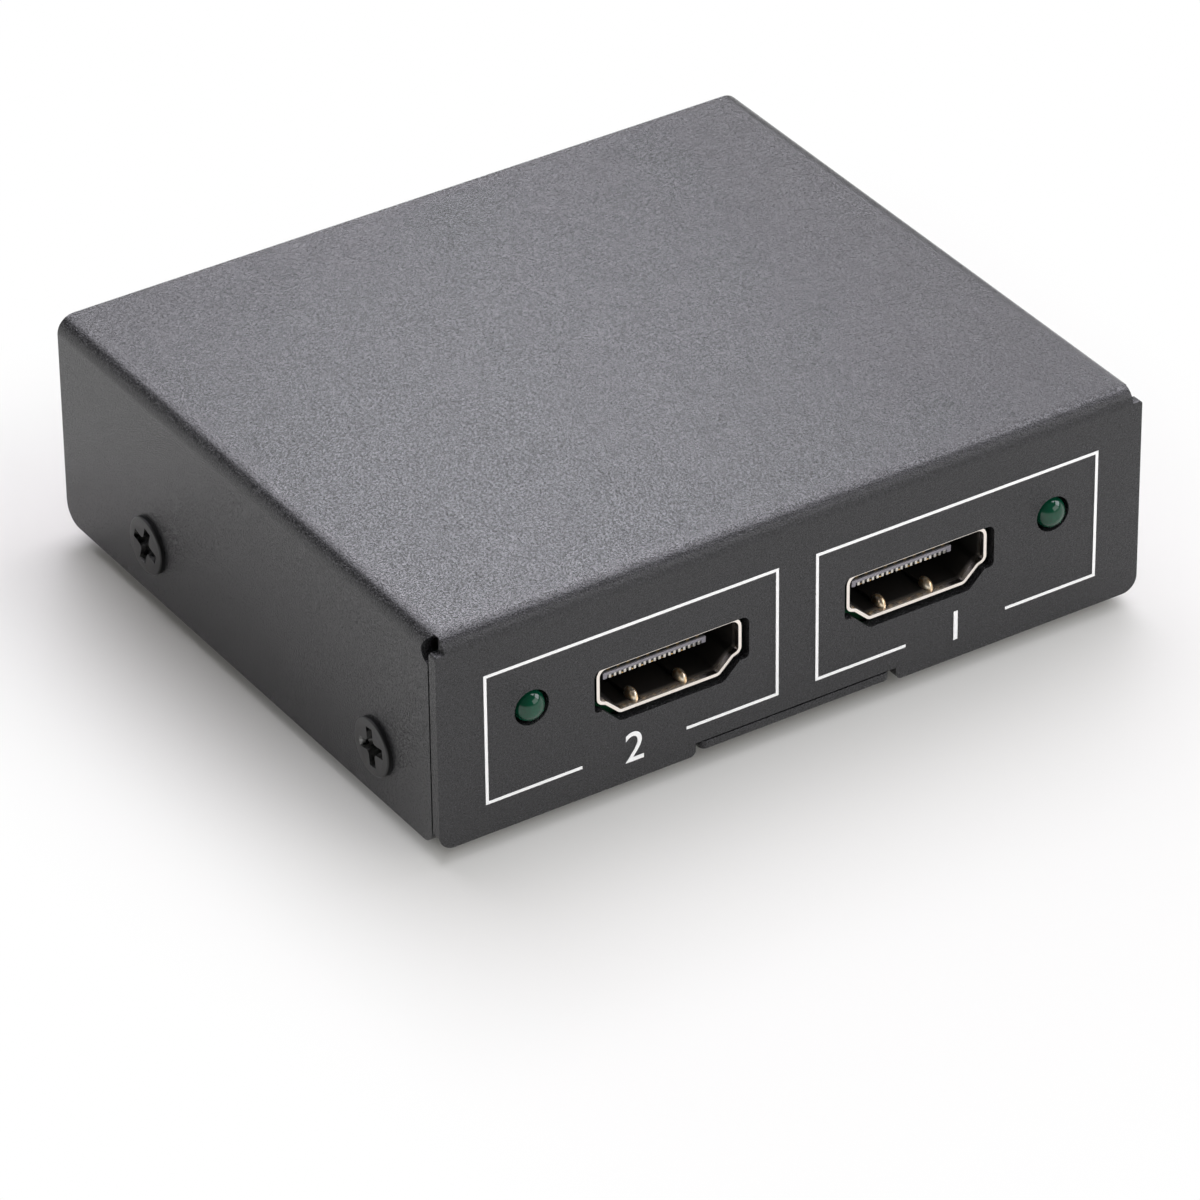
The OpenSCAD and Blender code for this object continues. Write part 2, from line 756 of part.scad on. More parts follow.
module contact_row() {
  for (i = [0:contact_n - 1])
    translate([(i - (contact_n - 1) / 2) * contact_pitch, 0, 0]) contact(tongue_z + tongue_t);
  for (i = [0:contact_n - 2])
    translate([(i - (contact_n - 2) / 2) * contact_pitch, 0, 0]) contact(tongue_z - contact_t);
}

module contacts() {
  color("#cfa85a") contact_row();
}

module insulator() {
  nose = tongue_t / 4;
  color("#1a1a1b") difference() {
    union() {
      along_y(block_y, shell_d) polygon(port_outline(-insulator_gap));
      along_x(-tongue_w / 2, tongue_w / 2) translate([0, tongue_z]) polygon([
        [tongue_set + nose, 0],
        [block_y + over, 0],
        [block_y + over, tongue_t],
        [tongue_set + nose, tongue_t],
        [tongue_set, tongue_t - nose],
        [tongue_set, nose]
      ]);
    }
    contact_row();
  }
}

module output_at(side) {
  translate([side * port_pitch / 2, front_y + port_recess, board_top_z]) children();
}

module video_output_1_shell() { output_at(1) shell(); }
module video_output_1_insulator() { output_at(1) insulator(); }
module video_output_1_contacts() { output_at(1) contacts(); }
module video_output_2_shell() { output_at(-1) shell(); }
module video_output_2_insulator() { output_at(-1) insulator(); }
module video_output_2_contacts() { output_at(-1) contacts(); }
module video_input_shell() { at_input() shell(); }
module video_input_insulator() { at_input() insulator(); }
module video_input_contacts() { at_input() contacts(); }

// Power jack

// The spring under the bore, and its leg down through the board
module jack_spring_form(gap) {
  half_w = terminal_w / 2 + gap;
  along_x(jack_x - half_w, jack_x + half_w) {
    translate([jack_spring_y - terminal_t / 2 - gap, jack_spring_z - terminal_t - gap])
      square([jack_bore_depth / 2 + 2 * gap, terminal_t + 2 * gap]);
    translate([jack_spring_y - terminal_t / 2 - gap, board_z - lead_under])
      square([terminal_t + 2 * gap, jack_spring_z - board_z + lead_under]);
  }
}

module power_jack_housing() {
  color("#1b1b1c") difference() {
    translate([jack_x - jack_half_w, jack_back_y, board_top_z])
      cube([2 * jack_half_w, jack_d, jack_rise + jack_half_w]);
    translate([jack_x, jack_bore_end_y, jack_z]) rotate([-90, 0, 0])
      cylinder(d = jack_bore_d, h = jack_bore_depth + over);
    translate([jack_x, jack_back_y - over, jack_z]) rotate([-90, 0, 0])
      cylinder(d = jack_shank_d + 2 * thread_gap, h = jack_d);
    jack_spring_form(thread_gap);
  }
}

module power_jack_pin() {
  color("#c8b98a") union() {
    translate([jack_x, jack_back_y, jack_z]) rotate([-90, 0, 0]) {
      cylinder(d = jack_pin_d, h = jack_d - jack_pin_set);
      cylinder(d = jack_shank_d, h = jack_d - jack_bore_depth);
    }
    translate([jack_x - terminal_w / 2, jack_back_y - terminal_t, board_z - lead_under])
      cube([terminal_w, terminal_t, jack_z - board_z + lead_under + jack_shank_d / 2]);
  }
}

module power_jack_spring() {
  color("#cfcac0") jack_spring_form(0);
}

// Indicator lamps

module lamp_lens(side) {
  lamp_r = lamp_d / 2;
  color("#0f6b45") translate([side * lamp_x, lamp_back_y, lamp_z]) rotate([90, 0, 0]) rotate_extrude() {
    square([lamp_rim_d / 2, lamp_rim_t]);
    square([lamp_r, lamp_len - lamp_r]);
    intersection() {
      translate([0, lamp_len - lamp_r]) circle(lamp_r);
      square([lamp_r, lamp_len]);
    }
  }
}

module lamp_leads(side) {
  color("#c9cacd") for (x = lead_pitch / 2 * [-1, 1])
    along_x(side * lamp_x + x - lead_t / 2, side * lamp_x + x + lead_t / 2) {
      translate([lamp_back_y, lamp_z - lead_t / 2]) square([lead_back + lead_t / 2, lead_t]);
      translate([lead_turn_y - lead_t / 2, board_z - lead_under]) square([lead_t, lamp_z - board_z + lead_under]);
    }
}

module lamp_1_lens() { lamp_lens(1); }
module lamp_1_leads() { lamp_leads(1); }
module lamp_2_lens() { lamp_lens(-1); }
module lamp_2_leads() { lamp_leads(-1); }

// Board parts

// The children at a place on the board
module on_board(at, z = 0) {
  translate([at.x, at.y, board_top_z + z]) children();
}

// A box that stands on z = 0, centred in X and Y
module block(l, w, h) {
  translate([-l / 2, -w / 2, 0]) cube([l, w, h]);
}

// A row of n gull-wing pins along X, leaving a body whose side is at y = edge
module pin_row(n, pitch, w, edge, rise) {
  for (i = [0:n - 1]) {
    x = (i - (n - 1) / 2) * pitch;
    along_x(x - w / 2, x + w / 2) {
      translate([edge, rise]) square([pin_reach / 2, pin_t]);
      translate([edge + pin_reach / 2 - pin_t, 0]) square([pin_t, rise + pin_t]);
      translate([edge + pin_reach / 2 - pin_t, 0]) square([pin_reach / 2 + pin_t, pin_t]);
    }
  }
}

module splitter_chip() {
  color("#1d1d1f") on_board(chip_at, chip_lift) block(chip_w, chip_w, chip_t);
}

module splitter_chip_pins() {
  pitch = (chip_w - 2.5 * pin_reach) / (chip_n - 1);
  color("#c9cacd") on_board(chip_at) for (turn = [0:90:270]) rotate(turn)
    pin_row(chip_n, pitch, pitch / 2, chip_w / 2, chip_lift + chip_t / 2);
}

module control_chip() {
  color("#1d1d1f") on_board(control_at, chip_lift) block(control_l, control_w, control_t);
}

module control_chip_pins() {
  pitch = control_l / 4;
  color("#c9cacd") on_board(control_at) for (turn = [0, 180]) rotate(turn)
    pin_row(4, pitch, pitch / 3, control_w / 2, chip_lift + control_t / 2);
}

module crystal_can() {
  straight = crystal_l - crystal_w;
  color("#c4c6c9") on_board(crystal_at) linear_extrude(crystal_h) union() {
    square([crystal_w, straight], center = true);
    for (end = [-1, 1]) translate([0, end * straight / 2]) circle(d = crystal_w);
  }
}

module voltage_regulator() {
  color("#1d1d1f") on_board(regulator_at, chip_lift) block(regulator_w, regulator_d, regulator_t);
}

module regulator_pins() {
  pitch = regulator_w / 3;
  color("#c9cacd") on_board(regulator_at) {
    pin_row(3, pitch, pitch / 3, regulator_d / 2, chip_lift + regulator_t / 2);
    rotate(180) pin_row(1, pitch, regulator_w / 2, regulator_d / 2, chip_lift + regulator_t / 2);
  }
}

module power_inductor() {
  groove = inductor_h / 4;
  color("#2b2b2d") on_board(inductor_at) difference() {
    block(inductor_w, inductor_w, inductor_h);
    translate([0, 0, groove]) difference() {
      block(2 * inductor_w, 2 * inductor_w, inductor_h - 2 * groove);
      cylinder(d = 0.9 * inductor_w, h = inductor_h);
    }
  }
}

module capacitor_cans() {
  can_r = can_d / 2;
  waist = can_r / 12;
  color("#b4b6ba") for (at = can_places) on_board(at, can_base_t) rotate_extrude() polygon([
    [0, 0],
    [can_r, 0],
    [can_r, can_h / 5],
    [can_r - waist, can_h / 4],
    [can_r, can_h / 3],
    [can_r, can_h - waist],
    [can_r - waist, can_h],
    [0, can_h]
  ]);
}

module capacitor_bases() {
  color("#19191a") for (at = can_places) on_board(at) block(can_d, can_d, can_base_t);
}

// Chip capacitors round the splitter chip, two beside each of its sides
module chip_capacitors() {
  reach = chip_w / 2 + 2 * pin_reach + cap_w;
  color("#b08d63") on_board(chip_at) for (turn = [0:90:270]) rotate(turn)
    for (x = cap_l * [-1, 1]) translate([x, reach, 0]) block(cap_l, cap_w, cap_w);
}

// The children behind each socket, at a distance from the feet of its contacts
module behind_sockets(away) {
  for (side = [-1, 1]) on_board([side * port_pitch / 2, outputs_back_y + away]) children();
  on_board([-input_set, inputs_back_y - away]) children();
}

module chip_resistors() {
  color("#202022") behind_sockets(res_l) for (i = [-1.5:1.5])
    translate([2 * i * res_w, 0, 0]) block(res_w, res_l, res_w / 2);
}

module surge_arrays() {
  color("#1d1d1f") behind_sockets(res_l + surge_l) for (side = [-1, 1])
    translate([side * surge_l, 0, 0]) block(surge_l, surge_l / 2, surge_l / 4);
}

module board_fuse() {
  color("#d8d2c4") on_board(fuse_at) block(1.5 * cap_l, 1.5 * cap_w, cap_w);
}

top_cover();
base_tray();
cover_screws();
rubber_feet();
circuit_board();
board_standoffs();
board_screws();
video_output_1_shell();
video_output_1_insulator();
video_output_1_contacts();
video_output_2_shell();
video_output_2_insulator();
video_output_2_contacts();
video_input_shell();
video_input_insulator();
video_input_contacts();
power_jack_housing();
power_jack_pin();
power_jack_spring();
lamp_1_lens();
lamp_1_leads();
lamp_2_lens();
lamp_2_leads();
splitter_chip();
splitter_chip_pins();
control_chip();
control_chip_pins();
crystal_can();
voltage_regulator();
regulator_pins();
power_inductor();
capacitor_cans();
capacitor_bases();
chip_capacitors();
chip_resistors();
surge_arrays();
board_fuse();
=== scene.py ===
"""Two-way video splitter in a folded steel case: its finishes, print and small hardware."""

import math

import bmesh
import bpy
from bpy.props import FloatProperty, FloatVectorProperty, IntProperty, PointerProperty
from mathutils import Matrix, Vector


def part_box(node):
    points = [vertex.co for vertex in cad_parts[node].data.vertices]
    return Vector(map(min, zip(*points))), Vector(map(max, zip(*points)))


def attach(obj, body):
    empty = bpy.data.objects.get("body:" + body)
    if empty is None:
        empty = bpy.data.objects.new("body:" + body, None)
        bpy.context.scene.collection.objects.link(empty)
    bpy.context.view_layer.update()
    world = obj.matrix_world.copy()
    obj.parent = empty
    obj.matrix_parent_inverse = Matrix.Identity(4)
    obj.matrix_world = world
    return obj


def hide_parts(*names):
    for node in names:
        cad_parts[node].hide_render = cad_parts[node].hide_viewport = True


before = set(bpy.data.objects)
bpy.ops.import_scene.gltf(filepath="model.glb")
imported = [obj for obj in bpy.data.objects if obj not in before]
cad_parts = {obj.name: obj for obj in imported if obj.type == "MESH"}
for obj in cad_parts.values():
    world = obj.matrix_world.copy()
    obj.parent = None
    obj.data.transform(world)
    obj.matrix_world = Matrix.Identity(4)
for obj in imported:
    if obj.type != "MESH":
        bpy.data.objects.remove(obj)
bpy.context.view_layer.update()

bl_info = {
    "name": "Video Splitter",
    "version": (1, 0, 0),
    "blender": (4, 5, 0),
    "location": "View3D > Sidebar > Splitter",
    "description": "Finishes a small steel-cased video splitter around its packed solids",
    "category": "Object",
}

MM = 0.001
BODY = "root"
SOCKETS = ("video_output_1", "video_output_2", "video_input")
COVER_LOW, COVER_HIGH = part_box("top_cover")
SCREWS_LOW, SCREWS_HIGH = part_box("cover_screws")
# Height of the built-in font's numerals as a share of its size
NUMERAL_SHARE = 0.7


# Sizes and colours that a user would change

def length(name, description, default):
    """A length in metres, given in millimetres."""
    return FloatProperty(
        name=name, description=description, default=default * MM, min=0.0, unit="LENGTH", precision=5,
    )


def rotation(name, description, default):
    """An angle, given in degrees."""
    return FloatProperty(name=name, description=description, default=math.radians(default), subtype="ANGLE")


def colour(name, description, default):
    """A linear colour."""
    return FloatVectorProperty(
        name=name, description=description, default=default, size=3, min=0.0, max=1.0, subtype="COLOR",
    )


def share(name, description, default, high=1.0):
    """A plain number from zero up to a limit."""
    return FloatProperty(name=name, description=description, default=default, min=0.0, max=high)


class CaseFinish(bpy.types.PropertyGroup):
    """Powder coat and edges of the folded steel case"""

    coat: colour("Coat", "Main colour of the powder coat", (0.0080, 0.0078, 0.0088))
    coat_speck: colour("Speck", "Colour of the paler grains in the coat", (0.0300, 0.0293, 0.0325))
    grain: length("Grain", "Width of the coat's fine grain", 0.14)
    grain_depth: length("Grain depth", "Height of the coat's fine grain", 0.034)
    pit: length("Pit", "Spacing of the coat's small pits", 0.165)
    pit_depth: length("Pit depth", "Depth of the coat's small pits", 0.050)
    roughness: share("Roughness", "Roughness of the coat", 0.22)
    edge: length("Edge radius", "Rounding that the coat leaves on cut edges", 0.09)


class PrintSizes(bpy.types.PropertyGroup):
    """White print on the front face"""

    ink: colour("Ink", "Colour of the print", (0.95, 0.95, 0.95))
    line: length("Line", "Width of the frame lines", 0.29)
    thickness: length("Thickness", "Thickness of the ink", 0.03)
    inner: length("Inner side", "Inner side of a frame from the middle of the front", 1.9)
    outer: length("Outer side", "Outer side of a frame from the middle of the front", 31.4)
    low: length("Lower line", "Lower edge of the frames above the case's lower edge", 3.04)
    high: length("Upper line", "Upper edge of the frames above the case's lower edge", 15.94)
    gap_inner: length("Gap start", "Start of the gap in the lower line, from the middle", 11.3)
    gap_outer: length("Gap end", "End of the gap in the lower line, from the middle", 21.8)
    numeral: length("Numeral", "Height of the numerals", 3.0)


class HardwareSizes(bpy.types.PropertyGroup):
    """Side screws, and the spring fingers and tongues of the video sockets"""

    head_edge: length("Head edge", "Rounding of a screw head's rim", 0.16)
    shank: length("Shank", "Radius of a screw's shank", 1.5)
    shank_length: length("Shank length", "Length of a screw's shank under its head", 3.0)
    recess: length("Recess", "Length of a screw's cross recess at the face", 3.7)
    arm: length("Arm", "Width of an arm of the cross recess at the face", 0.95)
    recess_depth: length("Recess depth", "Depth of the cross recess", 1.3)
    recess_corner: length("Recess corner", "Rounding of the corners where the arms meet", 0.35)
    front_turn: rotation("Front turn", "Turn of the front screws", -8.0)
    rear_turn: rotation("Rear turn", "Turn of the rear screws", 17.0)
    teeth: IntProperty(name="Teeth", description="Contact tips on a tongue's front edge", default=19, min=1)
    tooth_pitch: length("Tooth pitch", "Distance between two contact tips", 0.5)
    tooth: length("Tooth", "Width of a contact tip", 0.27)
    tooth_rise: length("Tooth rise", "Height of a contact tip", 0.33)
    tooth_drop: length("Tooth drop", "Lower end of the contact tips below the shell's top", 3.12)
    lip_rise: length("Lip rise", "Height of the lip over the contact tips", 0.30)
    end_tile: length("End tile", "Width of the blocks at both ends of the contact tips", 0.45)
    finger: length("Finger", "Width of a spring finger's plated nose", 1.02)
    finger_pitch: length("Finger pitch", "Distance between the two spring fingers", 4.92)
    finger_set: length("Finger set", "Fingers beside the middle of the opening", 0.59)
    nose_back: length("Nose back", "Middle of a finger's nose behind the mouth", 1.35)
    nose_length: length("Nose length", "Length of a finger's nose", 1.8)
    nose_rise: length("Nose rise", "Height of a finger's nose over the socket's floor", 0.78)
    floor_drop: length("Floor drop", "Floor of a socket's opening below the shell's top", 4.9)


class StageLight(bpy.types.PropertyGroup):
    """Floor, soft lights and surroundings"""

    floor: colour("Floor", "Colour of the floor", (0.76, 0.745, 0.705))
    surroundings: share("Surroundings", "Brightness of the room above the horizon", 0.10, 10.0)
    horizon: share("Horizon", "Brightness of the room at the horizon", 1.0, 10.0)
    panel: share("Panel", "Brightness of the large soft panel above and behind", 2.7, 100.0)
    panel_gloss: share("Panel gloss", "Brightness that the panel's mirror image has besides", 2.0, 100.0)
    glint: share("Glint", "Brightness of the small light mirrored in the near left of the top", 12.5, 100.0)
    lens_light: share("Lens light", "Brightness of the light mirrored in the lamps' upper right", 4.5, 100.0)
    right_light: share("Right light", "Brightness of the soft light on the right", 2.0, 100.0)
    left_light: share("Left light", "Brightness of the soft fill on the left", 0.7, 100.0)
    front_light: share("Front light", "Brightness of the low light in front", 2.7, 100.0)
    white_from: length("White from", "Distance from the case at which the floor starts to turn white", 0.0)
    white_at: length("White at", "Distance from the case at which the floor is white", 58.0)
    mirror_from: length("Mirror from", "The same start for the floor as the case mirrors it", 14.0)
    mirror_at: length("Mirror at", "The same end for the floor as the case mirrors it", 33.0)
    cover_depth: length("Cover depth", "Depth under the case past which the floor shows no white", 2.4)
    cover_reach: length("Cover reach", "Distance beside the case up to which its white is held back", 0.9)
    side_pace: share("Side pace", "How fast the floor turns white beside and behind the case", 1.75, 4.0)
    side_start: length("Side start", "Distance by which the floor there is ahead at the case", 4.0)
    front_pace: share("Front pace", "How fast the floor turns white in front of the case", 0.44, 4.0)
    front_start: length("Front start", "Distance by which the floor there is ahead at the case", 22.0)


# Materials

# The same on all three axes, or in all three colours
EVEN = (1.0, 1.0, 1.0)
# Where a finish takes its two tints on the grain, and its two roughnesses on a drift many grains wide
TINT_STOPS = (0.35, 0.68)
DRIFT_STOPS = (0.3, 0.7)
DRIFT_WIDTH = 14.0
SMOOTHEST = 0.02


def new_material(name):
    """An empty node material with its shader."""
    material = bpy.data.materials.new(name)
    material.use_nodes = True
    tree = material.node_tree
    return material, tree, tree.nodes["Principled BSDF"]


def add_node(tree, kind, **values):
    """A node with its properties, and its input sockets by name, set."""
    node = tree.nodes.new(kind)
    for key, value in values.items():
        if key in node.inputs:
            node.inputs[key].default_value = value
        else:
            setattr(node, key, value)
    return node


def wired(tree, kind, operation, values):
    """The outputs of a maths node whose inputs are linked to sockets or set to constants."""
    node = add_node(tree, kind, operation=operation)
    for slot, value in enumerate(values):
        if isinstance(value, bpy.types.NodeSocket):
            tree.links.new(value, node.inputs[slot])
        else:
            node.inputs[slot].default_value = value
    return node.outputs


def maths(tree, operation, *values):
    """A number worked out from sockets and constants."""
    return wired(tree, "ShaderNodeMath", operation, values)["Value"]


def vector_maths(tree, operation, *values):
    """A vector worked out from sockets and constants."""
    return wired(tree, "ShaderNodeVectorMath", operation, values)["Vector"]


def eased(tree, value, start, end, low=0.0):
    """A smooth rise to one while a value goes from a start to an end."""
    node = add_node(tree, "ShaderNodeMapRange", interpolation_type="SMOOTHSTEP")
    node.inputs["From Min"].default_value = start
    node.inputs["From Max"].default_value = end
    node.inputs["To Min"].default_value = low
    tree.links.new(value, node.inputs["Value"])
    return node.outputs["Result"]


def object_noise(tree, width, detail=2.0, stretch=EVEN):
    """Noise on the object's own coordinates, with grains of about the given width in metres."""
    place = add_node(tree, "ShaderNodeTexCoord")
    mapping = add_node(tree, "ShaderNodeMapping", Scale=stretch)
    noise = add_node(tree, "ShaderNodeTexNoise", Scale=1.0 / width, Detail=detail)
    tree.links.new(place.outputs["Object"], mapping.inputs["Vector"])
    tree.links.new(mapping.outputs["Vector"], noise.inputs["Vector"])
    return noise.outputs["Fac"]


def ramp(tree, value, stops):
    """A colour ramp over a value, with two stops of position and linear colour."""
    node = add_node(tree, "ShaderNodeValToRGB")
    for element, (position, tint) in zip(node.color_ramp.elements, stops):
        element.position = position
        element.color = (*tint, 1.0)
    tree.links.new(value, node.inputs["Fac"])
    return node.outputs["Color"]


def grey(level):
    """A grey as a linear colour."""
    return (level, level, level)


def surface(name, tints, grain, depth, rough, metallic=0.0, spread=0.06, stretch=EVEN, **sockets):
    """A procedural finish: a fine grain tints it and stands up as bump, and its roughness drifts."""
    material, tree, shader = new_material(name)
    noise = object_noise(tree, grain, stretch=stretch)
    drift = object_noise(tree, grain * DRIFT_WIDTH, detail=3.0)
    levels = (grey(max(rough - spread, SMOOTHEST)), grey(rough + spread))
    tree.links.new(ramp(tree, noise, zip(TINT_STOPS, tints)), shader.inputs["Base Color"])
    tree.links.new(ramp(tree, drift, zip(DRIFT_STOPS, levels)), shader.inputs["Roughness"])
    bump = add_node(tree, "ShaderNodeBump", Strength=1.0, Distance=depth)
    tree.links.new(noise, bump.inputs["Height"])
    tree.links.new(bump.outputs["Normal"], shader.inputs["Normal"])
    shader.inputs["Metallic"].default_value = metallic
    for socket, value in sockets.items():
        shader.inputs[socket.replace("_", " ")].default_value = value
    return material


def pitted(material, spacing, depth, bottom=0.34, rim=0.50):
    """Sink small round pits into a finish, over its own grain, where a noise falls from rim to bottom."""
    tree = material.node_tree
    grain = tree.nodes["Principled BSDF"].inputs["Normal"].links[0].from_node
    well = eased(tree, object_noise(tree, spacing, detail=1.0), bottom, rim)
    bump = add_node(tree, "ShaderNodeBump", Strength=1.0, Distance=depth)
    tree.links.new(well, bump.inputs["Height"])
    tree.links.new(bump.outputs["Normal"], grain.inputs["Normal"])


def paint_shade(material, axis, dark_at, full_at, dull, darkest=0.08):
    """Painted shade: darken and dull a finish towards a plane across an axis, at a distance from the case's
    middle.
    """
    tree = material.node_tree
    shader = tree.nodes["Principled BSDF"]
    place = add_node(tree, "ShaderNodeTexCoord")
    axes = add_node(tree, "ShaderNodeSeparateXYZ")
    tree.links.new(place.outputs["Object"], axes.inputs["Vector"])
    painted_shade_mask = eased(tree, maths(tree, "ABSOLUTE", axes.outputs[axis]), dark_at, full_at, darkest)
    tint = vector_maths(tree, "MULTIPLY", shader.inputs["Base Color"].links[0].from_socket, painted_shade_mask)
    tree.links.new(tint, shader.inputs["Base Color"])
    rough = add_node(tree, "ShaderNodeMapRange")
    rough.inputs["To Min"].default_value = dull
    tree.links.new(painted_shade_mask, rough.inputs["Value"])
    tree.links.new(shader.inputs["Roughness"].links[0].from_socket, rough.inputs["To Max"])
    tree.links.new(rough.outputs["Result"], shader.inputs["Roughness"])


def dress(node, material):
    """Give a packed node its material."""
    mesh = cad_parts[node].data
    mesh.materials.clear()
    mesh.materials.append(material)


# Modelling helpers

def clear_selection():
    """Leave edit mode with nothing selected."""
    if bpy.context.mode != "OBJECT":
        bpy.ops.object.mode_set(mode="OBJECT")
    bpy.ops.object.select_all(action="DESELECT")


def activate(piece):
    """Make one piece the only selected and active object."""
    clear_selection()
    piece.select_set(True)
    bpy.context.view_layer.objects.active = piece


def place_applied(piece):
    """Move a piece's place, turn and scale into its mesh."""
    activate(piece)
    bpy.ops.object.transform_apply(location=True, rotation=True, scale=True)


def pick_faces(piece, test):
    """In edit mode, select the faces whose centre and normal pass a test."""
    bpy.ops.mesh.select_mode(type="FACE")
    bpy.ops.mesh.select_all(action="DESELECT")
    shape = bmesh.from_edit_mesh(piece.data)
    for face in shape.faces:
        face.select_set(bool(test(face.calc_center_median(), face.normal)))
    bmesh.update_edit_mesh(piece.data)


def pick_edges(piece, test):
    """In edit mode, select the edges whose two ends pass a test."""
    bpy.ops.mesh.select_mode(type="EDGE")
    bpy.ops.mesh.select_all(action="DESELECT")
    shape = bmesh.from_edit_mesh(piece.data)
    for edge in shape.edges:
        edge.select_set(bool(test(edge.verts[0].co, edge.verts[1].co)))
    bmesh.update_edit_mesh(piece.data)


def faces_down(centre, normal):
    """A test for the faces that point down."""
    return normal.z < -0.9


def apply_modifier(piece, kind, **values):
    """Add a modifier with its values and apply it at once."""
    activate(piece)
    modifier = piece.modifiers.new(kind.title(), kind)
    for key, value in values.items():
        setattr(modifier, key, value)
    bpy.ops.object.modifier_apply(modifier=modifier.name)


def named(piece, name, material):
    """Name a piece and give it its material."""
    piece.name = name
    piece.data.name = name
    piece.data.materials.clear()
    piece.data.materials.append(material)
    return piece


def box_piece(low, high):
    """A box between two corners, as a new mesh object with its place in the mesh."""
    clear_selection()
    low, high = Vector(low), Vector(high)
    bpy.ops.mesh.primitive_cube_add(size=1.0, location=(low + high) / 2, scale=high - low)
    piece = bpy.context.object
    place_applied(piece)
    return piece


def joined(pieces):
    """Join pieces into the first of them."""
    clear_selection()
    for piece in pieces:
        piece.select_set(True)
    bpy.context.view_layer.objects.active = pieces[0]
    bpy.ops.object.join()
    return bpy.context.object


def copy_of(piece, matrix):
    """A copy with a mesh of its own, moved by a matrix."""
    twin = piece.copy()
    twin.data = piece.data.copy()
    bpy.context.collection.objects.link(twin)
    twin.matrix_world = matrix
    place_applied(twin)
    return twin


def soft_edged(node, name, radius):
    """A copy of a packed node with its cut edges rounded, to stand for the node."""
    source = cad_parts[node]
    piece = bpy.data.objects.new(name, source.data.copy())
    bpy.context.collection.objects.link(piece)
    activate(piece)
    bpy.ops.object.mode_set(mode="EDIT")
    bpy.ops.mesh.select_all(action="SELECT")
    bpy.ops.mesh.remove_doubles(threshold=0.001 * MM)
    bpy.ops.mesh.dissolve_limited(angle_limit=math.radians(0.5))
    bpy.ops.object.mode_set(mode="OBJECT")
    apply_modifier(
        piece, "BEVEL", width=radius, segments=2, limit_method="ANGLE", angle_limit=math.radians(40),
        use_clamp_overlap=True, harden_normals=False,
    )
    activate(piece)
    bpy.ops.object.shade_smooth_by_angle(angle=math.radians(35))
    apply_modifier(piece, "WEIGHTED_NORMAL", mode="FACE_AREA", weight=100, keep_sharp=True)
    return piece


# Pieces

class SPLITTER_OT_case(bpy.types.Operator):
    """Coat the folded cover and tray and round their cut edges"""

    bl_idname = "splitter.case"
    bl_label = "Case"

    def execute(self, context):
        look = context.scene.splitter_case
        coat = surface(
            "powder_coat", (tuple(look.coat), tuple(look.coat_speck)),
            grain=look.grain, depth=look.grain_depth, rough=look.roughness, spread=0.008,
        )
        pitted(coat, look.pit, look.pit_depth)
        for node, name in (("top_cover", "coated_cover"), ("base_tray", "coated_tray")):
            dress(node, coat)
            piece = named(soft_edged(node, name, look.edge), name, coat)
            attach(piece, BODY)
            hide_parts(node)
        return {"FINISHED"}


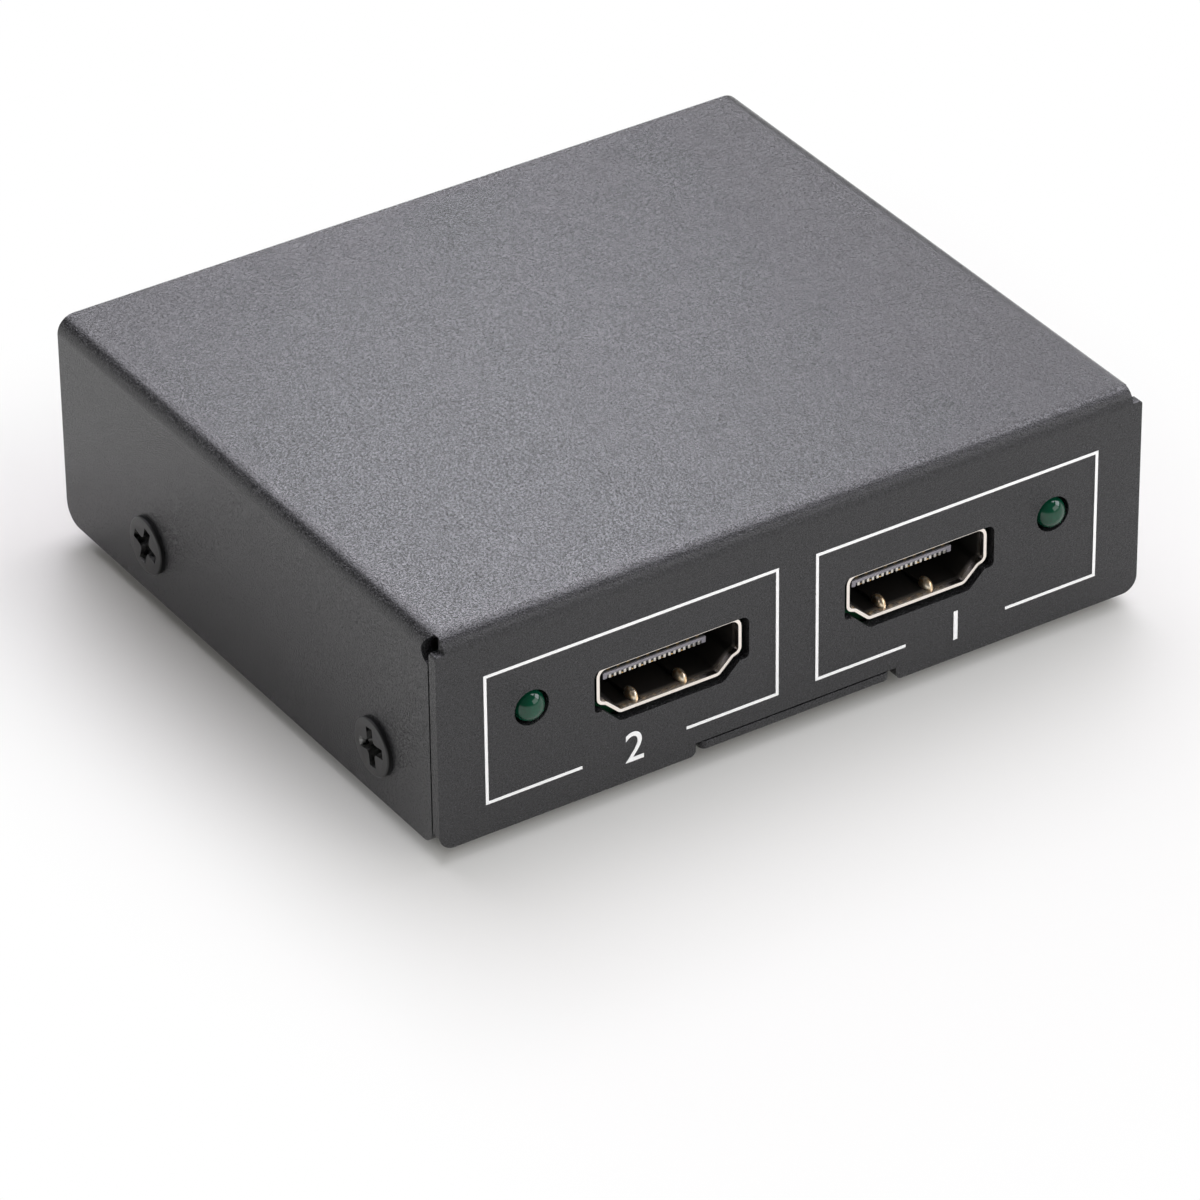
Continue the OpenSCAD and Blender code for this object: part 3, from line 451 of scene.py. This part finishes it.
class SPLITTER_OT_screws(bpy.types.Operator):
    """Model the low cross-recess screws on both sides"""

    bl_idname = "splitter.screws"
    bl_label = "Side screws"

    def recess_cutter(self, sizes, top):
        """Two crossing wedges that narrow towards their lower end, at their full size on the face."""
        taper = 0.45
        widened = 2.0 / (1.0 + taper)
        middle_reach = 0.75 * widened * sizes.arm
        least_rise = 0.2 * MM

        def inner_corner(a, b):
            within = max(abs(a.x), abs(a.y), abs(b.x), abs(b.y)) < middle_reach
            return within and abs(a.z - b.z) > least_rise

        wedges = []
        for quarter in (0.0, math.pi / 2):
            bpy.ops.mesh.primitive_cube_add(size=1.0)
            wedge = bpy.context.object
            wedge.scale = (widened * sizes.recess, widened * sizes.arm, 2 * sizes.recess_depth)
            wedge.location = (0.0, 0.0, top)
            wedge.rotation_euler = (0.0, 0.0, quarter)
            place_applied(wedge)
            bpy.ops.object.mode_set(mode="EDIT")
            pick_faces(wedge, faces_down)
            bpy.ops.transform.resize(value=(taper, taper, 1.0))
            bpy.ops.object.mode_set(mode="OBJECT")
            wedges.append(wedge)
        cutter, crossing = wedges
        apply_modifier(cutter, "BOOLEAN", operation="UNION", object=crossing, solver="EXACT")
        bpy.data.objects.remove(crossing)
        activate(cutter)
        bpy.ops.object.mode_set(mode="EDIT")
        pick_edges(cutter, inner_corner)
        bpy.ops.mesh.bevel(offset=sizes.recess_corner, segments=3)
        bpy.ops.object.mode_set(mode="OBJECT")
        return cutter

    def wear_recesses(self, piece, sizes, rows, height, worn):
        """Give the sunk faces of the recesses the worn finish."""
        reach = 0.55 * sizes.recess
        face = SCREWS_HIGH.x - 0.05 * MM
        root = SCREWS_HIGH.x - sizes.recess_depth - 0.1 * MM

        def sunk(centre, normal):
            beside = min(math.hypot(centre.y - row, centre.z - height) for row in rows)
            return beside < reach and root < abs(centre.x) < face

        activate(piece)
        piece.data.materials.append(worn)
        bpy.ops.object.mode_set(mode="EDIT")
        pick_faces(piece, sunk)
        piece.active_material_index = 1
        bpy.ops.object.material_slot_assign()
        bpy.ops.object.mode_set(mode="OBJECT")

    def execute(self, context):
        sizes = context.scene.splitter_hardware
        radius = (SCREWS_HIGH.z - SCREWS_LOW.z) / 2
        proud = SCREWS_HIGH.x - COVER_HIGH.x
        height = (SCREWS_LOW.z + SCREWS_HIGH.z) / 2
        rows = (SCREWS_LOW.y + radius, SCREWS_HIGH.y - radius)
        clear_selection()
        bpy.ops.mesh.primitive_cylinder_add(
            vertices=72, radius=radius, depth=proud, location=(0.0, 0.0, proud / 2),
        )
        head = bpy.context.object
        place_applied(head)
        bpy.ops.object.mode_set(mode="EDIT")
        pick_edges(head, lambda a, b: min(a.z, b.z) > 0.9 * proud)
        bpy.ops.mesh.bevel(offset=sizes.head_edge, segments=3)
        pick_faces(head, faces_down)
        bpy.ops.mesh.inset(thickness=radius - sizes.shank)
        bpy.ops.mesh.extrude_region_move(TRANSFORM_OT_translate={"value": (0.0, 0.0, -sizes.shank_length)})
        bpy.ops.object.mode_set(mode="OBJECT")
        cutter = self.recess_cutter(sizes, proud)
        apply_modifier(head, "BOOLEAN", operation="DIFFERENCE", object=cutter, solver="EXACT")
        bpy.data.objects.remove(cutter)
        activate(head)
        bpy.ops.object.shade_smooth_by_angle(angle=math.radians(30))
        oxide_and_shade = surface(
            "black_oxide", (grey(0.005), grey(0.010)),
            grain=0.12 * MM, depth=0.004 * MM, rough=0.34, spread=0.03,
        )
        # Painted shade: the part of each head's rim next to the cover is darkened to near black and dulled;
        # the screws themselves are black oxide.
        paint_shade(
            oxide_and_shade, "X", dark_at=COVER_HIGH.x + 0.55 * proud, full_at=COVER_HIGH.x + 0.85 * proud, dull=0.95,
        )
        worn = surface(
            "worn_recess", (grey(0.003), (0.24, 0.24, 0.235)),
            grain=0.60 * MM, depth=0.03 * MM, rough=0.25, metallic=0.8,
        )
        screws = []
        for side in (-1, 1):
            for row, turn in zip(rows, (sizes.front_turn, sizes.rear_turn)):
                outwards = Matrix.Rotation(side * math.pi / 2, 4, "Y")
                matrix = Matrix.Translation((side * COVER_HIGH.x, row, height)) @ outwards
                screws.append(copy_of(head, matrix @ Matrix.Rotation(side * turn, 4, "Z")))
        bpy.data.objects.remove(head)
        piece = named(joined(screws), "side_screws", oxide_and_shade)
        self.wear_recesses(piece, sizes, rows, height, worn)
        dress("cover_screws", oxide_and_shade)
        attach(piece, BODY)
        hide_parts("cover_screws")
        return {"FINISHED"}


class SPLITTER_OT_print(bpy.types.Operator):
    """Print the white frames and the numerals on the front face"""

    bl_idname = "splitter.print"
    bl_label = "Front print"

    def frame_line(self, sizes, side):
        """One open frame: a plane inset to a line, with a gap cut in its lower side."""
        low, high = COVER_LOW.z + sizes.low, COVER_LOW.z + sizes.high
        middle = side * (sizes.inner + sizes.outer) / 2

        def in_gap(centre, normal):
            return sizes.gap_inner < abs(centre.x) < sizes.gap_outer and centre.z < low + sizes.line

        clear_selection()
        bpy.ops.mesh.primitive_plane_add(
            size=1.0, location=(middle, COVER_LOW.y, (low + high) / 2), rotation=(math.pi / 2, 0.0, 0.0),
        )
        piece = bpy.context.object
        piece.scale = (sizes.outer - sizes.inner, high - low, 1.0)
        place_applied(piece)
        bpy.ops.object.mode_set(mode="EDIT")
        bpy.ops.mesh.select_all(action="SELECT")
        bpy.ops.mesh.inset(thickness=sizes.line)
        bpy.ops.mesh.delete(type="FACE")
        for cut in (sizes.gap_inner, sizes.gap_outer):
            bpy.ops.mesh.select_all(action="SELECT")
            bpy.ops.mesh.bisect(plane_co=(side * cut, 0.0, 0.0), plane_no=(1.0, 0.0, 0.0))
        pick_faces(piece, in_gap)
        bpy.ops.mesh.delete(type="FACE")
        bpy.ops.object.mode_set(mode="OBJECT")
        return piece

    def numeral(self, sizes, side, text):
        """A plain numeral in the gap of the lower line."""
        clear_selection()
        bpy.ops.object.text_add()
        figure = bpy.context.object
        figure.data.body = text
        figure.data.size = sizes.numeral / NUMERAL_SHARE
        figure.data.align_x = "CENTER"
        figure.data.align_y = "CENTER"
        bpy.ops.object.convert(target="MESH")
        piece = bpy.context.object
        middle = side * (sizes.gap_inner + sizes.gap_outer) / 2
        piece.rotation_euler = (math.pi / 2, 0.0, 0.0)
        piece.location = (middle, COVER_LOW.y, COVER_LOW.z + sizes.low + sizes.line / 2)
        place_applied(piece)
        return piece

    def execute(self, context):
        sizes = context.scene.splitter_print
        paler = tuple(min(1.0, level * 1.03) for level in sizes.ink)
        ink = surface("white_ink", (tuple(sizes.ink), paler), grain=0.2 * MM, depth=0.004 * MM, rough=0.5)
        outwards = (0.0, -sizes.thickness, 0.0)
        for side, text in ((1, "1"), (-1, "2")):
            for piece, name in (
                (self.frame_line(sizes, side), f"print_frame_{text}"),
                (self.numeral(sizes, side, text), f"print_numeral_{text}"),
            ):
                activate(piece)
                bpy.ops.object.mode_set(mode="EDIT")
                bpy.ops.mesh.select_all(action="SELECT")
                bpy.ops.mesh.remove_doubles(threshold=0.002 * MM)
                bpy.ops.mesh.extrude_region_move(TRANSFORM_OT_translate={"value": outwards})
                bpy.ops.mesh.select_all(action="SELECT")
                bpy.ops.mesh.normals_make_consistent(inside=False)
                bpy.ops.object.mode_set(mode="OBJECT")
                named(piece, name, ink)
                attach(piece, BODY)
        return {"FINISHED"}


class SPLITTER_OT_sockets(bpy.types.Operator):
    """Finish the video sockets and add the lips, contact tips and finger noses in them"""

    bl_idname = "splitter.sockets"
    bl_label = "Video sockets"

    def rounded_box(self, low, high, radius):
        """A small box with rounded edges."""
        piece = box_piece(low, high)
        bpy.ops.object.mode_set(mode="EDIT")
        bpy.ops.mesh.select_all(action="SELECT")
        bpy.ops.mesh.bevel(offset=radius, segments=2)
        bpy.ops.object.mode_set(mode="OBJECT")
        return piece

    def tongue_front(self, sizes, middle, tip, outwards, low):
        """The lip with its end blocks, and the row of contact tips under it."""
        half = (sizes.teeth - 1) / 2 * sizes.tooth_pitch
        reach = half + sizes.tooth_pitch / 2 + sizes.end_tile
        split = low + sizes.tooth_rise
        high = split + sizes.lip_rise
        block_top, tooth_top = split + 0.06 * MM, split + 0.03 * MM
        back = tip - outwards * 0.15 * MM
        lip_proud, block_proud, tooth_proud = 0.04 * MM, 0.03 * MM, 0.06 * MM
        lip_edge, tooth_edge = 0.05 * MM, 0.04 * MM

        def between(x_low, x_high, proud, z_low, z_high, radius):
            near, far = sorted((tip + outwards * proud, back))
            return self.rounded_box((middle + x_low, near, z_low), (middle + x_high, far, z_high), radius)

        lip = [between(-reach, reach, lip_proud, split, high, lip_edge)]
        for start in (-reach, reach - sizes.end_tile):
            lip.append(between(start, start + sizes.end_tile, block_proud, low, block_top, lip_edge))
        first_start, first_end = -half - sizes.tooth / 2, -half + sizes.tooth / 2
        tips = between(first_start, first_end, tooth_proud, low, tooth_top, tooth_edge)
        apply_modifier(
            tips, "ARRAY", count=sizes.teeth, use_relative_offset=False, use_constant_offset=True,
            constant_offset_displace=(sizes.tooth_pitch, 0.0, 0.0),
        )
        return joined(lip), tips

    def finger_noses(self, sizes, middle, mouth, outwards, floor):
        """Bulged noses on the two spring fingers, each a flattened ball cut off at the socket's floor."""
        cut = floor + 0.01 * MM
        noses = []
        for side in (-1, 1):
            x = middle + outwards * sizes.finger_set + side * sizes.finger_pitch / 2
            clear_selection()
            bpy.ops.mesh.primitive_uv_sphere_add(segments=28, ring_count=18, radius=1.0)
            nose = bpy.context.object
            nose.scale = (sizes.finger / 2, sizes.nose_length / 2, sizes.nose_rise)
            nose.location = (x, mouth - outwards * sizes.nose_back, floor)
            place_applied(nose)
            bpy.ops.object.mode_set(mode="EDIT")
            bpy.ops.mesh.select_all(action="SELECT")
            bpy.ops.mesh.bisect(
                plane_co=(0.0, 0.0, cut), plane_no=(0.0, 0.0, 1.0), use_fill=True, clear_inner=True,
            )
            bpy.ops.object.mode_set(mode="OBJECT")
            bpy.ops.object.shade_smooth_by_angle(angle=math.radians(40))
            noses.append(nose)
        return joined(noses)

    def execute(self, context):
        sizes = context.scene.splitter_hardware
        shade_painted_nickel = surface(
            "nickel_plate", ((0.90, 0.83, 0.76), (0.95, 0.88, 0.82)),
            grain=0.5 * MM, depth=0.0008 * MM, rough=0.22, metallic=1.0, spread=0.03,
        )
        mouth_reach = abs(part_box("video_output_1_shell")[0].y)
        # Painted shade: the plating darkens to near black and dulls from a third of a millimetre behind each
        # mouth, fully past a millimetre, as the inside of a socket lies in shade.
        paint_shade(shade_painted_nickel, "Y", dark_at=mouth_reach - 1.1 * MM, full_at=mouth_reach - 0.35 * MM, dull=0.6)
        finger_plate = surface(
            "finger_plate", ((0.80, 0.56, 0.28), (1.00, 0.93, 0.80)),
            grain=0.22 * MM, depth=0.006 * MM, rough=0.34, metallic=1.0, stretch=(1.0, 0.3, 0.3),
        )
        lip_plastic = surface(
            "tongue_lip", ((0.22, 0.21, 0.24), (0.28, 0.27, 0.30)),
            grain=0.1 * MM, depth=0.002 * MM, rough=0.4,
        )
        moulding = surface(
            "black_moulding", (grey(0.008), grey(0.016)), grain=0.1 * MM, depth=0.003 * MM, rough=0.4,
        )
        gold = surface(
            "flash_gold", ((0.72, 0.48, 0.20), (0.82, 0.58, 0.28)),
            grain=0.3 * MM, depth=0.0006 * MM, rough=0.22, metallic=1.0,
        )
        tin = surface(
            "contact_tips", ((0.62, 0.60, 0.56), (0.72, 0.70, 0.66)),
            grain=0.2 * MM, depth=0.001 * MM, rough=0.35, metallic=1.0,
        )
        for socket in SOCKETS:
            dress(f"{socket}_shell", shade_painted_nickel)
            dress(f"{socket}_insulator", moulding)
            dress(f"{socket}_contacts", gold)
            shell_low, shell_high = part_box(f"{socket}_shell")
            tongue_low, tongue_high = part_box(f"{socket}_insulator")
            faces_front = socket != "video_input"
            outwards = -1.0 if faces_front else 1.0
            tip = tongue_low.y if faces_front else tongue_high.y
            mouth = shell_low.y if faces_front else shell_high.y
            middle = (shell_low.x + shell_high.x) / 2
            lip, tips = self.tongue_front(sizes, middle, tip, outwards, shell_high.z - sizes.tooth_drop)
            noses = self.finger_noses(sizes, middle, mouth, outwards, shell_high.z - sizes.floor_drop)
            named(noses, f"{socket}_finger_noses", finger_plate)
            named(lip, f"{socket}_tongue_lip", lip_plastic)
            named(tips, f"{socket}_contact_tips", tin)
            for piece, slot in ((lip, "black_plastic"), (tips, "tin"), (noses, "tin")):
                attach(piece, BODY)
        return {"FINISHED"}


class SPLITTER_OT_lamps(bpy.types.Operator):
    """Finish the green indicator lamps"""

    bl_idname = "splitter.lamps"
    bl_label = "Indicator lamps"

    def execute(self, context):
        resin = surface(
            "green_resin", ((0.0008, 0.046, 0.022), (0.0015, 0.058, 0.029)),
            grain=0.9 * MM, depth=0.0004 * MM, rough=0.04, spread=0.01, IOR=1.5,
        )
        wire = surface(
            "tinned_wire", (grey(0.60), grey(0.70)),
            grain=0.2 * MM, depth=0.001 * MM, rough=0.3, metallic=1.0,
        )
        for lamp in ("lamp_1", "lamp_2"):
            dress(f"{lamp}_lens", resin)
            dress(f"{lamp}_leads", wire)
        return {"FINISHED"}


class SPLITTER_OT_rear(bpy.types.Operator):
    """Finish the power jack on the rear panel and the feet"""

    bl_idname = "splitter.rear"
    bl_label = "Power jack and feet"

    def execute(self, context):
        housing = surface(
            "jack_moulding", (grey(0.010), grey(0.020)), grain=0.12 * MM, depth=0.003 * MM, rough=0.38,
        )
        plate = surface(
            "jack_plate", ((0.62, 0.58, 0.48), (0.72, 0.68, 0.58)),
            grain=0.3 * MM, depth=0.0008 * MM, rough=0.2, metallic=1.0,
        )
        rubber = surface(
            "foot_rubber", (grey(0.012), grey(0.024)), grain=0.35 * MM, depth=0.02 * MM, rough=0.75,
        )
        dress("power_jack_housing", housing)
        dress("power_jack_pin", plate)
        dress("power_jack_spring", plate)
        dress("rubber_feet", rubber)
        return {"FINISHED"}


class SPLITTER_OT_board(bpy.types.Operator):
    """Finish the circuit board and the parts on it"""

    bl_idname = "splitter.board"
    bl_label = "Board and its parts"

    def execute(self, context):
        resist = surface(
            "solder_resist", ((0.006, 0.070, 0.026), (0.012, 0.100, 0.040)),
            grain=0.8 * MM, depth=0.006 * MM, rough=0.3, Coat_Weight=0.4,
        )
        epoxy = surface(
            "chip_epoxy", ((0.012, 0.012, 0.013), (0.022, 0.022, 0.023)),
            grain=0.08 * MM, depth=0.004 * MM, rough=0.55,
        )
        tinned = surface(
            "tinned_metal", ((0.58, 0.58, 0.59), (0.70, 0.70, 0.71)),
            grain=0.25 * MM, depth=0.001 * MM, rough=0.3, metallic=1.0,
        )
        can = surface(
            "can_aluminium", ((0.60, 0.61, 0.63), (0.72, 0.73, 0.75)),
            grain=0.3 * MM, depth=0.002 * MM, rough=0.34, metallic=1.0, stretch=(1.0, 1.0, 0.15),
        )
        ceramic = surface(
            "fired_ceramic", ((0.30, 0.20, 0.11), (0.40, 0.28, 0.16)),
            grain=0.15 * MM, depth=0.004 * MM, rough=0.5,
        )
        ferrite = surface(
            "ferrite", ((0.018, 0.018, 0.019), (0.036, 0.036, 0.037)),
            grain=0.15 * MM, depth=0.01 * MM, rough=0.7,
        )
        looks = {
            resist: ("circuit_board",),
            epoxy: (
                "splitter_chip", "control_chip", "voltage_regulator", "capacitor_bases", "chip_resistors",
                "surge_arrays",
            ),
            tinned: (
                "board_standoffs", "board_screws", "splitter_chip_pins", "control_chip_pins",
                "regulator_pins",
            ),
            can: ("crystal_can", "capacitor_cans"),
            ceramic: ("chip_capacitors", "board_fuse"),
            ferrite: ("power_inductor",),
        }
        for material, nodes in looks.items():
            for node in nodes:
                dress(node, material)
        return {"FINISHED"}


class SPLITTER_OT_stage(bpy.types.Operator):
    """Set the pale floor, the soft lights and the camera"""

    bl_idname = "splitter.stage"
    bl_label = "Stage"

    def floor(self, light):
        """A wide pale floor that keeps the object's shadow near it and is white further off."""
        clear_selection()
        bpy.ops.mesh.primitive_plane_add(size=8.0, location=(0.0, 0.0, 0.0))
        ground = bpy.context.object
        material, tree, shader = new_material("pale_floor")
        shader.inputs["Base Color"].default_value = (*light.floor, 1.0)
        shader.inputs["Roughness"].default_value = 0.40
        shader.inputs["Specular IOR Level"].default_value = 0.3
        place = add_node(tree, "ShaderNodeTexCoord").outputs["Object"]
        # How far a point lies past the right and rear sides, and before the left and front ones
        past = vector_maths(tree, "SUBTRACT", place, (COVER_HIGH.x, COVER_HIGH.y, 0.0))
        before = vector_maths(tree, "SUBTRACT", (COVER_LOW.x, COVER_LOW.y, 0.0), place)
        # The distance over which the floor turns white, with each side's pace and start
        further = vector_maths(
            tree, "MULTIPLY_ADD", past,
            (light.side_pace, light.side_pace, 1.0), (light.side_start, light.side_start, 0.0),
        )
        nearer = vector_maths(
            tree, "MULTIPLY_ADD", before,
            (light.side_pace, light.front_pace, 1.0), (light.side_start, light.front_start, 0.0),
        )
        either_side = vector_maths(tree, "MAXIMUM", further, nearer)
        outside = vector_maths(tree, "MAXIMUM", either_side, (0.0, 0.0, 0.0))
        away = wired(tree, "ShaderNodeVectorMath", "LENGTH", (outside,))["Value"]
        # The floor under the case stays dark
        sides = add_node(tree, "ShaderNodeSeparateXYZ")
        tree.links.new(vector_maths(tree, "MAXIMUM", past, before), sides.inputs["Vector"])
        clear = maths(tree, "MAXIMUM", sides.outputs["X"], sides.outputs["Y"])
        uncovered = eased(tree, clear, -light.cover_depth, light.cover_reach)
        # The white is for the camera and for what the case mirrors, and lights nothing
        rays = add_node(tree, "ShaderNodeLightPath").outputs
        mirrored = maths(tree, "MAXIMUM", rays["Is Glossy Ray"], rays["Is Transmission Ray"])
        seen_white = eased(tree, away, light.white_from, light.white_at)
        mirrored_white = eased(tree, away, light.mirror_from, light.mirror_at)
        share_white = maths(
            tree, "MAXIMUM",
            maths(tree, "MULTIPLY", rays["Is Camera Ray"], seen_white),
            maths(tree, "MULTIPLY", mirrored, mirrored_white),
        )
        share_clear = maths(tree, "MULTIPLY", share_white, uncovered)
        white = add_node(tree, "ShaderNodeEmission", Strength=1.0)
        mix = add_node(tree, "ShaderNodeMixShader")
        for slot, source in enumerate((share_clear, shader.outputs["BSDF"], white.outputs["Emission"])):
            tree.links.new(source, mix.inputs[slot])
        tree.links.new(mix.outputs["Shader"], tree.nodes["Material Output"].inputs["Surface"])
        named(ground, "floor", material)

    def room(self, light):
        """A dim room with a pale horizon."""
        world = bpy.data.worlds.new("soft_room")
        world.use_nodes = True
        tree = world.node_tree
        place = add_node(tree, "ShaderNodeTexCoord")
        axes = add_node(tree, "ShaderNodeSeparateXYZ")
        tree.links.new(place.outputs["Generated"], axes.inputs["Vector"])
        pale_up_to, dim_from = 0.11, 0.28
        stops = ((pale_up_to, grey(light.horizon)), (dim_from, grey(light.surroundings)))
        tree.links.new(ramp(tree, axes.outputs["Z"], stops), tree.nodes["Background"].inputs["Color"])
        return world

    def soft_light(self, name, brightness, azimuth, elevation, distance, spread, tint):
        """A rectangular soft light at a bearing from the object, by its brightness and angles of view."""
        azimuth, elevation = math.radians(azimuth), math.radians(elevation)
        position = distance * Vector((
            math.cos(elevation) * math.cos(azimuth),
            math.cos(elevation) * math.sin(azimuth),
            math.sin(elevation),
        ))
        lamp = bpy.data.lights.new(name, "AREA")
        lamp.shape = "RECTANGLE"
        lamp.size, lamp.size_y = (2 * distance * math.tan(math.radians(angle) / 2) for angle in spread)
        lamp.energy = brightness * math.pi * lamp.size * lamp.size_y
        lamp.color = tint
        holder = bpy.data.objects.new(name, lamp)
        bpy.context.collection.objects.link(holder)
        holder.location = position
        holder.rotation_euler = (-position).to_track_quat("-Z", "Y").to_euler()
        return holder

    def camera(self):
        """A long lens that looks down on the case from its front left."""
        azimuth, elevation, roll = (math.radians(angle) for angle in (-32.720, 33.240, -0.677))
        back = Vector((
            math.sin(azimuth) * math.cos(elevation),
            -math.cos(azimuth) * math.cos(elevation),
            math.sin(elevation),
        ))
        right = Vector((math.cos(azimuth), math.sin(azimuth), 0.0))
        up = back.cross(right)
        turned_right = right * math.cos(roll) + up * math.sin(roll)
        turned_up = up * math.cos(roll) - right * math.sin(roll)
        lens = bpy.data.cameras.new("camera")
        lens.sensor_width = 36.0
        lens.lens = 230.13
        lens.clip_start = 0.01
        holder = bpy.data.objects.new("camera", lens)
        bpy.context.collection.objects.link(holder)
        matrix = Matrix((turned_right, turned_up, back)).transposed().to_4x4()
        matrix.translation = Vector((-307.521, -478.963, 369.570)) * MM
        holder.matrix_world = matrix
        bpy.context.scene.camera = holder

    def execute(self, context):
        light = context.scene.splitter_stage
        self.floor(light)
        context.scene.world = self.room(light)
        cool = (0.985, 0.97, 1.05)
        # Name, azimuth, elevation, distance, angles of view, tint, and the rays that don't meet the light
        for name, azimuth, elevation, distance, spread, tint, hidden_from in (
            ("panel", 52.8, 58.5, 0.9, (73.5, 54.6), cool, None),
            ("panel_gloss", 52.8, 58.5, 1.0, (73.5, 54.6), cool, "visible_diffuse"),
            ("glint", 60.0, 41.0, 0.37, (10.0, 10.0), cool, "visible_diffuse"),
            ("lens_light", -18.0, 33.0, 0.7, (28.0, 24.0), cool, "visible_diffuse"),
            ("right_light", -58.0, 30.0, 0.6, (40.0, 24.0), EVEN, None),
            ("left_light", 165.0, 35.0, 0.8, (50.0, 30.0), EVEN, "visible_glossy"),
            ("front_light", -75.0, 15.0, 0.8, (50.0, 30.0), EVEN, "visible_glossy"),
        ):
            brightness = getattr(light, name)
            holder = self.soft_light(name, brightness, azimuth, elevation, distance, spread, tint)
            if hidden_from:
                setattr(holder, hidden_from, False)
        self.camera()
        context.scene.view_settings.view_transform = "Standard"
        return {"FINISHED"}


OPERATORS = (
    SPLITTER_OT_case,
    SPLITTER_OT_screws,
    SPLITTER_OT_print,
    SPLITTER_OT_sockets,
    SPLITTER_OT_lamps,
    SPLITTER_OT_rear,
    SPLITTER_OT_board,
    SPLITTER_OT_stage,
)
SETTINGS = {
    "splitter_case": CaseFinish,
    "splitter_print": PrintSizes,
    "splitter_hardware": HardwareSizes,
    "splitter_stage": StageLight,
}


class SPLITTER_PT_sidebar(bpy.types.Panel):
    """Lists the pieces and their sizes"""

    bl_label = "Video Splitter"
    bl_idname = "SPLITTER_PT_sidebar"
    bl_space_type = "VIEW_3D"
    bl_region_type = "UI"
    bl_category = "Splitter"

    def draw(self, context):
        for name, group in SETTINGS.items():
            box = self.layout.box()
            box.label(text=group.__doc__)
            for key in group.__annotations__:
                box.prop(getattr(context.scene, name), key)
        for operator in OPERATORS:
            self.layout.operator(operator.bl_idname)


CLASSES = (*SETTINGS.values(), *OPERATORS, SPLITTER_PT_sidebar)


def register():
    """Add the classes and the scene's settings."""
    for group in CLASSES:
        bpy.utils.register_class(group)
    for name, group in SETTINGS.items():
        setattr(bpy.types.Scene, name, PointerProperty(type=group))


def unregister():
    """Take the settings and the classes away again."""
    for name in SETTINGS:
        delattr(bpy.types.Scene, name)
    for group in reversed(CLASSES):
        bpy.utils.unregister_class(group)


def main():
    """Build every piece in order."""
    register()
    bpy.ops.splitter.case()
    bpy.ops.splitter.screws()
    bpy.ops.splitter.print()
    bpy.ops.splitter.sockets()
    bpy.ops.splitter.lamps()
    bpy.ops.splitter.rear()
    bpy.ops.splitter.board()
    bpy.ops.splitter.stage()
    clear_selection()


if __name__ == "__main__":
    main()
